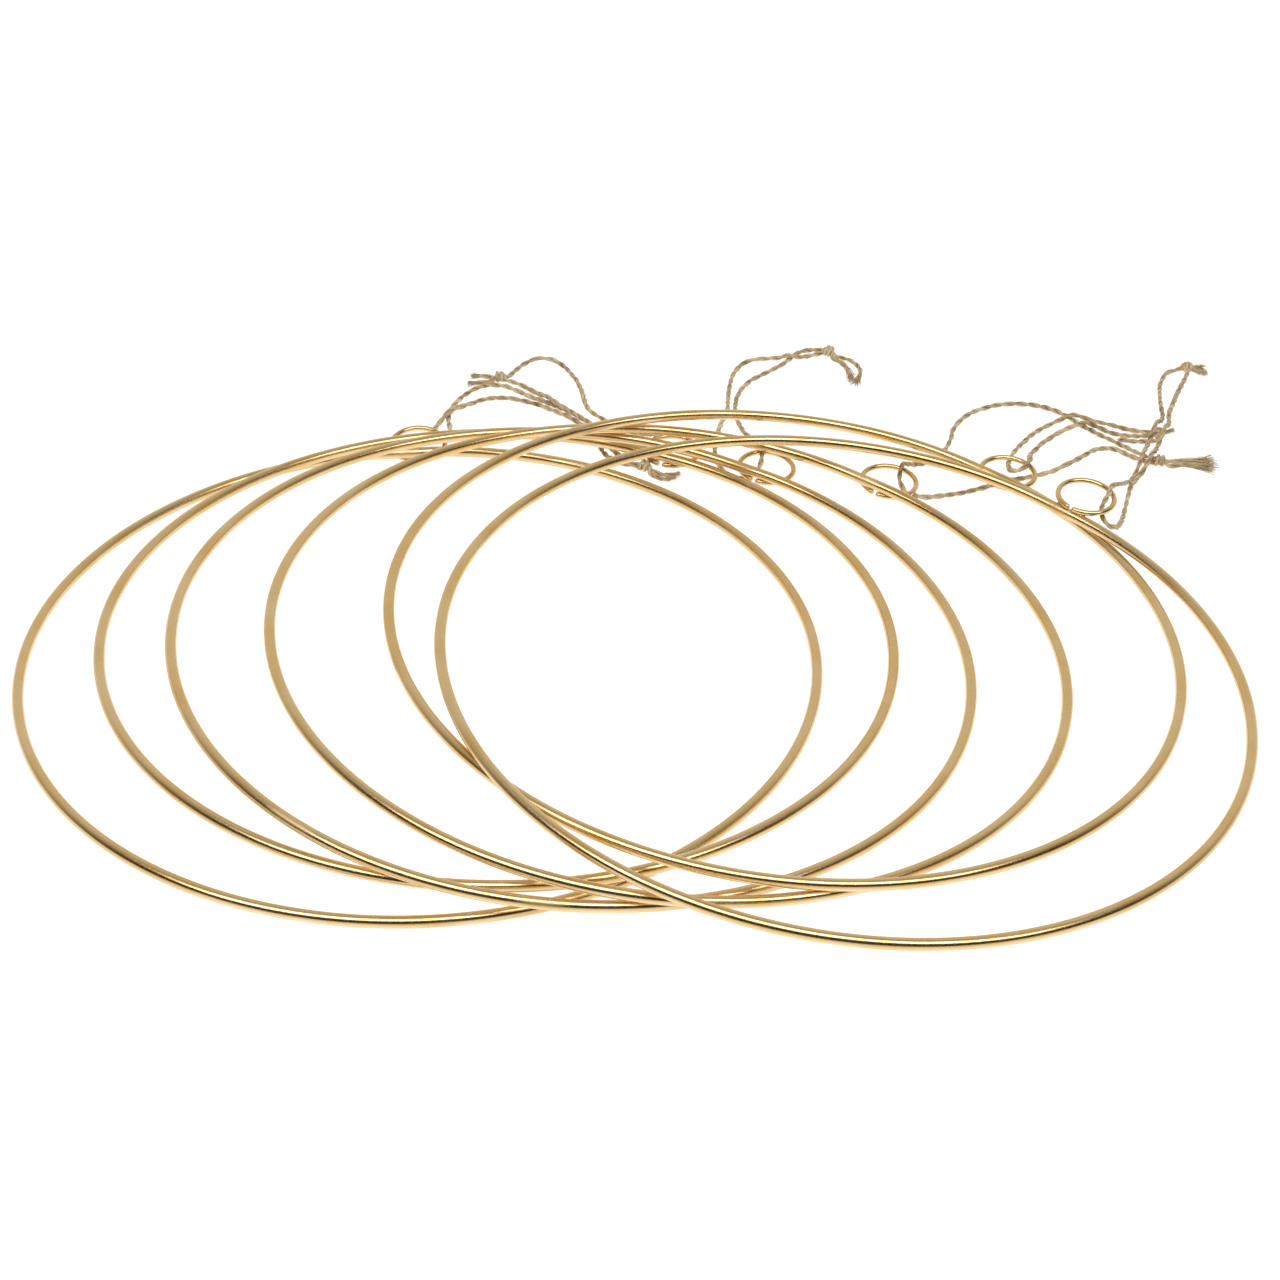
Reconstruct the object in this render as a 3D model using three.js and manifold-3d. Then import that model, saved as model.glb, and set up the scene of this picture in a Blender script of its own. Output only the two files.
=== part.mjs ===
// Six wreath frames in a loose fan: metal hoops that lie one on another, each with a small
// hanging eyelet welded to its bar and a loop of jute twine tied through the eyelet.
// Millimetres, +Z up. The origin is on the table, below the middle of the metalwork.

import * as THREE from "three";
import { mergeVertices } from "three/addons/utils/BufferGeometryUtils.js";
import Module from "manifold-3d";

const wasm = await Module();
wasm.setup();

// Metalwork
const HOOP_OUTER_DIAMETER = 350;
const BAR_DIAMETER = 5;
const EYELET_OUTER_DIAMETER = 29;
const EYELET_WIRE_DIAMETER = 2.5;
const EYELET_OPENING = 2; // between the eyelet's two wire ends, over the bar
const EYELET_BITE = 2; // how far the eyelet's wire reaches past the middle of the bar
const WELD_LENGTH = 4.8;
const WELD_DIAMETER = 1.2;

// Twine
const TWINE_DIAMETER = 2.5;
const KNOT_SIZE = [7.2, 6.6, 5.6];
const STRAND_TABLE_GAP = 0.15;
const KNOT_TABLE_GAP = 0.1;
const TWINE_REST_HEIGHT = TWINE_DIAMETER / 2 + STRAND_TABLE_GAP; // middle of a strand on the table

// Fits
const PIECE_GAP = 0.3; // between pieces of one frame that touch
const SEAT_GAP = 0.1; // between one frame and the next one down, corner to corner

// Facets
const HOOP_SEGMENTS = 52;
const EYELET_STEPS = 22;
const ROD_SIDES = 8;
const STEPS_PER_TAIL_POINT = 2;
const WELD_FACETS = [8, 5]; // round and along its pole axis
const KNOT_FACETS = [10, 7];
const TOUCH_SAMPLES = { bar: 720, eyelet: 120 };

const HOOP_RADIUS = (HOOP_OUTER_DIAMETER - BAR_DIAMETER) / 2; // to the middle of the bar
const EYELET_RADIUS = (EYELET_OUTER_DIAMETER - EYELET_WIRE_DIAMETER) / 2;
const EYELET_DROP = (BAR_DIAMETER + EYELET_WIRE_DIAMETER) / 2 + PIECE_GAP;
const UNDERNEATH = -1;
const ON_TOP = 1;

// Each frame from the bottom of the pile up. centre is the hoop's middle in plan, lean its slope
// in degrees about X and Y, bearing the eyelet's place round the hoop, side the face of the bar
// that carries the eyelet, and tip the slope of the eyelet's outer end. The twine's points run
// from the knot through the eyelet and back to the knot.
const FRAMES = [
  {
    centre: [-91.55, 0.8],
    lean: [0.5, 0.15],
    bearing: 95.5,
    side: UNDERNEATH,
    tip: 6,
    twine: [
      [2.6, 169.1, 1.9], [1.3, 169.7, 1.9], [0, 170.4, 1.6], [-5, 173.9, 1.4], [-10, 179.9, 1.4],
      [-14, 187.9, 1.4], [-17, 196.9, 1.4], [-21, 205.9, 1.4], [-28, 213.9, 1.4],
      [-36, 221.9, 1.4], [-45, 228.9, 1.4], [-54, 234.9, 1.4], [-62, 240.9, 1.4],
      [-69, 245.9, 1.4], [-76, 247.9, 1.4], [-83, 244.9, 1.4], [-89, 237.9, 1.4],
      [-93.5, 228.9, 1.4], [-96, 218.9, 1.4], [-96, 208.9, 1.4], [-94, 198.9, 1.6],
      [-93.2, 194.8, 2.2], [-93, 190.9, 3.5], [-94.1, 187.4, 5.2], [-94.8, 186.2, 5.8],
      [-96, 184.9, 6], [-101, 184.9, 3.7], [-104, 188.9, 1.8], [-104.5, 195.9, 1.4],
      [-102, 202.9, 1.6], [-100.1, 206.9, 2.4], [-98, 210.9, 3.7], [-97.1, 212.7, 4.2],
      [-95.7, 215.4, 4.2], [-93, 219.9, 3], [-89.7, 224.1, 1.9], [-86, 227.9, 1.5],
      [-78, 232.9, 1.4], [-69, 234.4, 1.4], [-60, 231.9, 1.4], [-51, 227.4, 1.4],
      [-43, 221.9, 1.4], [-35, 215.4, 1.4], [-28, 207.4, 1.4], [-23, 198.4, 1.4],
      [-19.5, 188.9, 1.4], [-16, 179.9, 1.4], [-10, 172.9, 1.5], [-5.9, 170.4, 1.8],
      [-2, 168.4, 2.4], [-0.3, 167.4, 2.7], [1.2, 166.5, 2.1],
    ],
    knot: [3.5, 167.4],
    tails: [
      [[7, 165.4], [11, 162.4], [16, 161.4], [20.5, 162.9]],
      [[6.5, 162.9], [10, 158.9], [14.5, 157.4], [18.5, 158.9]],
    ],
  },
  {
    centre: [-57.75, 11.5],
    lean: [-0.45, 1.3],
    bearing: 66,
    side: UNDERNEATH,
    tip: 3,
    twine: [
      [-71.5, 255.4, 1.9], [-70.2, 255.5, 1.9], [-69, 255.9, 1.6], [-65, 263.9, 1.4],
      [-60, 271.9, 1.4], [-54, 276.9, 1.4], [-47, 275.9, 1.4], [-41, 269.9, 1.4],
      [-36, 260.9, 1.4], [-32, 250.9, 1.4], [-29.5, 240.9, 1.4], [-28, 231.9, 1.4],
      [-25, 222.9, 1.4], [-18, 214.4, 1.4], [-10, 207.4, 1.4], [-2, 200.9, 1.9], [1.2, 197.9, 3],
      [4, 194.9, 4.6], [6.4, 192, 6.5], [7.3, 190.7, 7.3], [8.5, 188.9, 7.7], [9.2, 187.7, 7.2],
      [10.2, 185.9, 6.3], [11, 182.9, 4.7], [9, 178.4, 2.3], [3.5, 179.4, 1.5], [-3, 183.9, 1.4],
      [-10, 189.9, 2.2], [-13.5, 193.3, 3.5], [-14.9, 194.7, 4], [-17, 196.9, 4.3],
      [-20.5, 200.9, 4], [-24, 204.9, 3.8], [-31, 212.9, 4.1], [-39, 221.9, 3.9],
      [-42.6, 225.9, 4.1], [-46, 229.9, 4.3], [-47.2, 231.5, 4.2], [-49, 233.9, 3.6],
      [-52, 237.9, 2.3], [-55, 241.5, 1.6], [-58, 244.9, 1.4], [-64, 249.9, 1.4],
      [-69, 252.4, 1.6], [-70.3, 252.5, 1.9], [-71.5, 252.4, 1.9],
    ],
    knot: [-73, 253.9],
    tails: [
      [[-77, 255.9], [-82, 256.9], [-87, 256.9]],
      [[-77, 251.9], [-82, 249.9], [-88, 248.9]],
    ],
  },
  {
    centre: [-24.15, -0.8],
    lean: [0.5, 4.35],
    bearing: 61.5,
    side: UNDERNEATH,
    tip: 3,
    twine: [
      [97.5, 290.7, 1.9], [96.3, 291.1, 1.9], [95, 291.4, 1.6], [89, 291.4, 1.4], [83, 287.9, 1.4],
      [79, 281.9, 1.4], [75, 275.9, 1.4], [70, 269.9, 1.4], [64, 263.9, 1.4], [58, 257.9, 1.4],
      [54, 250.9, 1.4], [51, 242.9, 1.4], [49.5, 233.9, 1.4], [49, 224.9, 1.4], [50, 215.9, 1.4],
      [52, 207.9, 1.4], [55, 199.9, 1.5], [58, 191.9, 2.6], [60, 183.9, 6.1], [60.3, 179.9, 8.1],
      [60.4, 178.3, 8.9], [60.5, 175.9, 10.1], [60.6, 174.3, 10.8], [60.9, 171.8, 10.3],
      [61.1, 170.2, 9.5], [61, 167.9, 8.4], [60.3, 164.7, 6.7], [59, 161.9, 5.2],
      [54.5, 158.9, 2.6], [49, 159.4, 1.5], [44, 163.9, 1.4], [40.5, 170.9, 1.4],
      [38.5, 178.9, 1.4], [38.5, 188.9, 1.4], [39.5, 198.9, 1.4], [41, 208.9, 1.4],
      [43, 217.9, 1.4], [45, 226.9, 1.4], [45.5, 235.9, 1.4], [46, 244.9, 1.4], [47, 254.9, 1.4],
      [49, 264.9, 1.4], [53, 273.9, 1.4], [60, 279.9, 1.4], [68, 280.9, 1.8], [72, 280.1, 2.6],
      [73.6, 279.6, 3.2], [76, 279.4, 4.1], [77.6, 279.6, 4.3], [80.1, 280.3, 3.7],
      [84, 281.9, 2.4], [87.1, 283.6, 1.7], [90, 285.4, 1.4], [95, 287.9, 1.6], [96.3, 287.9, 1.9],
      [97.5, 287.7, 1.9],
    ],
    knot: [99.5, 288.4],
    tails: [
      [[103.5, 285.4], [109.5, 281.9], [114, 275.9], [115.5, 267.9], [113, 259.9]],
      [[101.5, 283.9], [106, 277.9], [109, 270.9], [110, 262.9]],
    ],
  },
  {
    centre: [17.65, 0.4],
    lean: [0.4, 5.1],
    bearing: 55,
    side: UNDERNEATH,
    tip: 3,
    twine: [
      [256.8, 180.9, 1.9], [255.5, 181.3, 1.9], [254, 181.9, 1.6], [247.5, 185.9, 1.4],
      [240, 192.9, 1.4], [233, 194.9, 1.4], [226, 190.9, 1.4], [219, 183.9, 1.4],
      [212, 177.9, 1.4], [205, 171.9, 1.4], [198, 167.9, 1.4], [191, 164.9, 1.4],
      [184, 162.9, 1.4], [177, 159.9, 1.4], [170, 155.4, 1.4], [163, 151.9, 1.4],
      [156, 148.9, 1.4], [149, 146.9, 1.4], [142, 145.4, 1.4], [135.5, 145.9, 1.5],
      [130.5, 147.9, 2.5], [128, 152.9, 5], [127.9, 155.9, 6.5], [128.5, 158.9, 8.3],
      [129.7, 162, 9.6], [131.5, 164.9, 8.1], [134.1, 167.9, 6], [137, 170.9, 4.1],
      [140, 173.9, 2.6], [143, 176.9, 1.7], [149, 183.9, 1.4], [154, 191.9, 1.4],
      [157, 200.9, 1.4], [159, 209.9, 1.4], [163, 218.9, 1.4], [169, 226.9, 1.4],
      [177, 232.9, 1.4], [186, 236.9, 1.4], [196, 237.9, 1.4], [206, 235.9, 1.4],
      [214, 230.9, 1.4], [220, 223.9, 1.4], [226, 215.9, 1.4], [232, 208.9, 1.4],
      [238, 202.9, 1.4], [244, 196.4, 1.4], [250, 190.4, 1.4], [255, 185.9, 1.6],
      [256.4, 184.8, 1.9], [257.8, 183.8, 1.9],
    ],
    knot: [259, 181.4],
    tails: [
      [[263.5, 182.9], [270, 183.9], [276.5, 183.9], [282, 182.9]],
      [[263, 178.9], [270, 179.9], [276, 178.9], [282, 177.4]],
    ],
  },
  {
    centre: [67.45, 10.1],
    lean: [0.8, 4.5],
    bearing: 52,
    side: UNDERNEATH,
    tip: 3,
    twine: [
      [259.8, 210.2, 1.9], [258.5, 210.8, 1.9], [257, 211.4, 1.6], [249, 213.4, 1.4],
      [240, 217.9, 1.4], [231, 221.9, 1.7], [226.5, 222.8, 2.6], [224.7, 223, 3.2],
      [222, 222.9, 4.2], [220.2, 222.6, 4.2], [217.4, 221.8, 3.3], [213, 219.9, 2.1],
      [205, 213.9, 1.4], [198, 205.9, 1.4], [192, 196.9, 1.4], [187, 187.9, 1.4],
      [184, 178.9, 1.5], [183.3, 174.9, 2.1], [183, 170.9, 3.3], [183, 162.9, 6.7],
      [186, 158.4, 9.6], [188.1, 158.7, 10.8], [190, 159.9, 12], [191.2, 162.1, 12.8],
      [192, 164.9, 12], [192.6, 168.3, 10.2], [193, 171.9, 8.3], [194, 180.9, 4.1],
      [195.7, 186, 2.5], [198, 190.9, 1.7], [204, 199.9, 1.4], [210, 206.9, 1.4],
      [217, 212.9, 1.7], [220.9, 214.4, 2.6], [225, 214.9, 4], [226.6, 214.8, 4.3],
      [229, 214.3, 4], [233, 212.9, 2.7], [237, 210.9, 1.8], [241, 208.9, 1.5], [249, 207.4, 1.4],
      [256, 207.4, 1.6], [257.8, 207.3, 1.9], [259.5, 207.2, 1.9],
    ],
    knot: [262, 208.9],
    tails: [
      [[262, 204.4], [256, 202.4], [249, 201.9], [243, 203.4]],
      [[266, 211.4], [270, 213.9]],
    ],
  },
  {
    centre: [92.15, -23.1],
    lean: [1.65, 5.1],
    bearing: 49.4,
    side: ON_TOP,
    tip: 3,
    twine: [
      [285.6, 277.9, 1.9], [284.4, 277.4, 1.9], [283, 276.9, 1.6], [278, 274.9, 1.4],
      [274, 267.9, 1.4], [271, 258.9, 1.4], [269.5, 248.9, 1.4], [268.5, 238.9, 1.4],
      [268, 229.9, 1.5], [267.2, 225.4, 1.9], [266, 220.9, 3.1], [264.1, 216.4, 5.1],
      [263.3, 214.6, 6], [262, 211.9, 7.4], [261.2, 210.1, 8.2], [260, 207.4, 7.7],
      [259.2, 205.6, 6.8], [258, 202.9, 5.4], [256, 198, 3.7], [254, 192.9, 3.5],
      [252, 187.5, 4.3], [251.2, 185.3, 4.3], [250, 181.9, 3.9], [247.5, 175.5, 2.4],
      [245, 168.9, 2.1], [242.6, 162.4, 3.2], [240, 155.9, 5.7], [237.1, 149.4, 9],
      [234, 142.9, 12.5], [231, 136.4, 16.1], [228, 129.9, 19.7], [226.9, 127.2, 21.2],
      [225.2, 123.1, 23.4], [224.1, 120.4, 23.6], [222.5, 116.9, 22.3], [220.5, 113.8, 20.3],
      [219, 110.9, 18.5], [218.8, 107.7, 17], [219.5, 104.9, 15.7], [222, 102.9, 13.5],
      [224, 104.2, 12.2], [226, 106.9, 10.3], [228.1, 111.9, 7.9], [230, 117.9, 5.2],
      [232.1, 124.3, 3], [234, 130.9, 1.9], [235.8, 137.5, 1.9], [237.5, 143.9, 2.7],
      [239.1, 149.5, 3.6], [241, 154.9, 4], [243.4, 160, 3.8], [246, 164.9, 3.1],
      [248.5, 169.9, 2.6], [251, 174.9, 3.1], [252, 176.9, 3.7], [253.6, 179.9, 4.9],
      [254.6, 181.9, 5.8], [256, 184.9, 5.7], [256.9, 186.9, 4.8], [258.1, 189.9, 3.7],
      [260, 194.9, 2.9], [262, 199.9, 4], [262.8, 201.9, 4.7], [264, 204.9, 6.1],
      [264.8, 206.7, 7], [266.1, 209.5, 6.4], [266.9, 211.2, 5.6], [268, 213.9, 4.4],
      [269.1, 217.9, 2.7], [270, 221.9, 1.8], [271.5, 230.9, 1.4], [275, 240.9, 1.4],
      [279, 251.9, 1.4], [283.5, 262.9, 1.4], [287.5, 272.9, 1.6], [288, 274.5, 1.9],
      [288.4, 275.8, 1.9],
    ],
    knot: [288, 277.9],
    tails: [
      [[292, 280.4], [296, 279.9]],
      [[292.5, 275.9], [296.5, 274.4]],
    ],
  },
];

const satinGold = new THREE.MeshStandardMaterial({ color: 0xc8a874, roughness: 0.38, metalness: 0.9 });
const weldGold = new THREE.MeshStandardMaterial({ color: 0xb8945c, roughness: 0.55, metalness: 0.8 });
const jute = new THREE.MeshStandardMaterial({ color: 0xb99a6b, roughness: 0.95, metalness: 0 });
const juteKnot = new THREE.MeshStandardMaterial({ color: 0xa98a5c, roughness: 0.95, metalness: 0 });

// From the middle of a rod to the corners of its outline.
function cornerRadius(width) {
  return width / 2 / Math.cos(Math.PI / ROD_SIDES);
}

// A regular outline round the origin with a flat below, a flat above and the given width across.
function rodOutline(width) {
  const corner = cornerRadius(width);
  return Array.from({ length: ROD_SIDES }, (_, i) => {
    const angle = ((i + 0.5) * 2 * Math.PI) / ROD_SIDES;
    return new THREE.Vector2(corner * Math.cos(angle), corner * Math.sin(angle));
  });
}

// A round rod along a curve, closed at both ends.
function rodAlong(curve, width, steps) {
  return new THREE.ExtrudeGeometry(new THREE.Shape(rodOutline(width)), {
    steps,
    extrudePath: curve,
    bevelEnabled: false,
  });
}

// The eyelet's centreline: nearly a full turn in the XY plane, open at its innermost point.
class EyeletTurn extends THREE.Curve {
  getPoint(t, target = new THREE.Vector3()) {
    const halfOpening = (EYELET_OPENING / 2) / EYELET_RADIUS;
    const angle = -Math.PI + halfOpening + t * 2 * (Math.PI - halfOpening);
    return target.set(EYELET_RADIUS * Math.cos(angle), EYELET_RADIUS * Math.sin(angle), 0);
  }
}

// A smooth route through points that the table holds up, stepped evenly from point to point,
// so that close points give short steps.
class Route extends THREE.CatmullRomCurve3 {
  constructor(points) {
    super(points.map((p) => new THREE.Vector3(...p)), false, "centripetal");
  }
  getPoint(t, target) {
    const point = super.getPoint(t, target);
    point.z = Math.max(point.z, TWINE_REST_HEIGHT);
    return point;
  }
  getPointAt(u, target) {
    return this.getPoint(u, target);
  }
  getTangentAt(u, target) {
    return this.getTangent(u, target);
  }
}

function hoopGeometry() {
  const profile = rodOutline(BAR_DIAMETER).map((p) => p.add(new THREE.Vector2(HOOP_RADIUS, 0)));
  profile.push(profile[0].clone());
  return new THREE.LatheGeometry(profile, HOOP_SEGMENTS).rotateX(Math.PI / 2);
}

function weldGeometry() {
  const bead = new THREE.SphereGeometry(1 / 2, ...WELD_FACETS);
  return bead.scale(WELD_DIAMETER, WELD_LENGTH, WELD_DIAMETER);
}

function solidOf(geometry) {
  const shape = geometry.clone();
  shape.deleteAttribute("normal");
  shape.deleteAttribute("uv");
  const merged = mergeVertices(shape, 1e-3);
  return new wasm.Manifold(
    new wasm.Mesh({
      numProp: 3,
      vertProperties: merged.attributes.position.array,
      triVerts: new Uint32Array(merged.index.array),
    }),
  );
}

function geometryOf(solid) {
  const mesh = solid.getMesh();
  const geometry = new THREE.BufferGeometry();
  geometry.setAttribute("position", new THREE.BufferAttribute(mesh.vertProperties, 3));
  geometry.setIndex(new THREE.BufferAttribute(mesh.triVerts, 1));
  geometry.computeVertexNormals();
  return geometry;
}

// The lump of an overhand knot, grown all round by the given amount.
function knotLump([x, y], grow = 0) {
  const [length, width, height] = KNOT_SIZE.map((size) => size + 2 * grow);
  const lump = new THREE.SphereGeometry(1 / 2, ...KNOT_FACETS).rotateX(Math.PI / 2);
  return lump.scale(length, width, height).translate(x, y, KNOT_SIZE[2] / 2 + KNOT_TABLE_GAP);
}

function knotGeometry({ knot, tails }) {
  let solid = solidOf(knotLump(knot));
  for (const tail of tails) {
    const points = [[...knot, KNOT_SIZE[2] / 2], ...tail.map(([x, y]) => [x, y, TWINE_REST_HEIGHT])];
    const steps = STEPS_PER_TAIL_POINT * tail.length;
    solid = solid.add(solidOf(rodAlong(new Route(points), TWINE_DIAMETER, steps)));
  }
  return geometryOf(solid);
}

// The two strands of the loop, cut back to the gap round the knot.
function twineGeometry({ twine, knot }) {
  const strand = rodAlong(new Route(twine), TWINE_DIAMETER, twine.length);
  return geometryOf(solidOf(strand).subtract(solidOf(knotLump(knot, PIECE_GAP))));
}

function named(name, geometry, material) {
  const mesh = new THREE.Mesh(geometry, material);
  mesh.name = name;
  return mesh;
}

// One frame's metalwork, in its own leaned group: the hoop, the eyelet and its two welds.
function metalwork(number, { centre, lean, bearing, side, tip }) {
  const group = new THREE.Group();
  group.position.set(...centre, 0);
  group.rotation.set(THREE.MathUtils.degToRad(lean[0]), THREE.MathUtils.degToRad(lean[1]), 0, "YXZ");
  group.add(named(`hoop_${number}`, hoopGeometry(), satinGold));

  const station = new THREE.Group();
  station.rotation.z = THREE.MathUtils.degToRad(bearing);
  group.add(station);

  const hinge = new THREE.Group();
  hinge.position.set(HOOP_RADIUS - EYELET_BITE, 0, side * EYELET_DROP);
  hinge.rotation.y = -THREE.MathUtils.degToRad(tip);
  station.add(hinge);
  const turn = rodAlong(new EyeletTurn(), EYELET_WIRE_DIAMETER, EYELET_STEPS);
  const eyelet = named(`eyelet_${number}`, turn, satinGold);
  eyelet.position.x = EYELET_RADIUS;
  hinge.add(eyelet);

  // Each weld lies in the corner between bar and wire, where the wire comes out from under
  // the middle of the bar.
  const crossing = Math.sqrt(EYELET_RADIUS ** 2 - (EYELET_RADIUS - EYELET_BITE) ** 2);
  const reach = ((BAR_DIAMETER + WELD_DIAMETER) / 2 + PIECE_GAP) * Math.SQRT1_2;
  for (const [end, way] of [["left", 1], ["right", -1]]) {
    const weld = named(`weld_${number}_${end}`, weldGeometry(), weldGold);
    weld.position.set(HOOP_RADIUS + reach, way * (crossing - WELD_DIAMETER), side * reach);
    station.add(weld);
  }
  return group;
}

// Points along the middle of a frame's bar and of its eyelet wire, with the metal's reach there.
function touchPoints(group, number) {
  const points = [];
  const hoop = group.getObjectByName(`hoop_${number}`);
  for (let i = 0; i < TOUCH_SAMPLES.bar; i++) {
    const angle = (i * 2 * Math.PI) / TOUCH_SAMPLES.bar;
    const local = new THREE.Vector3(HOOP_RADIUS * Math.cos(angle), HOOP_RADIUS * Math.sin(angle), 0);
    points.push({ at: hoop.localToWorld(local), reach: cornerRadius(BAR_DIAMETER) });
  }
  const eyelet = group.getObjectByName(`eyelet_${number}`);
  const turn = new EyeletTurn();
  for (let i = 0; i <= TOUCH_SAMPLES.eyelet; i++) {
    const local = turn.getPoint(i / TOUCH_SAMPLES.eyelet);
    points.push({ at: eyelet.localToWorld(local), reach: cornerRadius(EYELET_WIRE_DIAMETER) });
  }
  return points;
}

// How far an upper frame has to be lifted to lie on a lower one.
function liftOver(upper, lower) {
  let lift = 0;
  for (const a of upper) {
    for (const b of lower) {
      const reach = a.reach + b.reach + SEAT_GAP;
      const apart = Math.hypot(a.at.x - b.at.x, a.at.y - b.at.y);
      if (apart < reach) {
        lift = Math.max(lift, b.at.z - a.at.z + Math.sqrt(reach ** 2 - apart ** 2));
      }
    }
  }
  return lift;
}

const pile = new THREE.Group();
const settled = [];
FRAMES.forEach((frame, index) => {
  const number = index + 1;
  const group = metalwork(number, frame);
  group.updateMatrixWorld(true);
  group.position.z = -new THREE.Box3().setFromObject(group, true).min.z;
  group.updateMatrixWorld(true);
  const points = touchPoints(group, number);
  const lift = Math.max(0, ...settled.map((lower) => liftOver(points, lower)));
  group.position.z += lift;
  points.forEach((point) => (point.at.z += lift));
  settled.push(points);
  pile.add(group);
  pile.add(named(`twine_${number}`, twineGeometry(frame), jute));
  pile.add(named(`knot_${number}`, knotGeometry(frame), juteKnot));
});

export default pile;
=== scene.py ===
# %% [markdown]
# # Six gold wreath hoops with jute hanging loops
# A wreath frame is a ring of round steel wire that flowers are tied to. These six lie in a loose fan on a
# table. Each one has a small open eyelet welded to its bar, and a loop of jute twine tied through the eyelet
# for hanging it up. The metal is made exactly round here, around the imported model, and the twine is laid
# ply by ply, because its twist and its hairs are what the eye looks for.

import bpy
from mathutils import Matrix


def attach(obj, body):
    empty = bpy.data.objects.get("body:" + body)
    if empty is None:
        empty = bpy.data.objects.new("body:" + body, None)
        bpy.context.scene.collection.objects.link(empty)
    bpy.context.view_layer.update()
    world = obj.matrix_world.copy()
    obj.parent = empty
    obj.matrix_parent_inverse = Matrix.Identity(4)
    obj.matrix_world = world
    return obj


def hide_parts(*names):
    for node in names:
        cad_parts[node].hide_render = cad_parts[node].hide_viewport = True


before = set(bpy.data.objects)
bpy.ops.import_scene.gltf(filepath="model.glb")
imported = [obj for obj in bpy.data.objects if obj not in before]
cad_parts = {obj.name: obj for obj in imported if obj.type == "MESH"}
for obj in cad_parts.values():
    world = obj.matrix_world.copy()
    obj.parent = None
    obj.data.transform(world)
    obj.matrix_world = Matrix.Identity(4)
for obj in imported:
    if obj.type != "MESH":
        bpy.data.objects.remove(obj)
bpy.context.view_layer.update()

import math

import bmesh
import bpy
import numpy as np
from mathutils import Matrix, Vector

MM = 0.001
COUNT = 6

# %% [markdown]
# ## Camera
# A long lens from the front and above keeps the hoops' ellipses nearly the same. The camera is aimed by a
# target point, a distance and a height angle, and then turned a degree about its own line of sight, as a
# hand-held camera is.

# %% Camera
CAMERA_TARGET = Vector((10.85, 22.4, 0)) * MM
CAMERA_DISTANCE = 1128.9 * MM
CAMERA_ELEVATION = math.radians(35.06)
CAMERA_ROLL = math.radians(1.06)

camera_data = bpy.data.cameras.new("studio_camera")
camera_data.lens = 71.29
camera_data.sensor_width = 36
camera_data.shift_x = -0.01266
camera = bpy.data.objects.new("studio_camera", camera_data)
bpy.context.scene.collection.objects.link(camera)
backwards = Vector((0, -math.cos(CAMERA_ELEVATION), math.sin(CAMERA_ELEVATION)))
camera.location = CAMERA_TARGET + CAMERA_DISTANCE * backwards
aim = backwards.to_track_quat("Z", "Y").to_matrix() @ Matrix.Rotation(CAMERA_ROLL, 3, "Z")
camera.rotation_euler = aim.to_euler()
bpy.context.scene.camera = camera
print("camera at", [round(x, 3) for x in camera.location])
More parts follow.
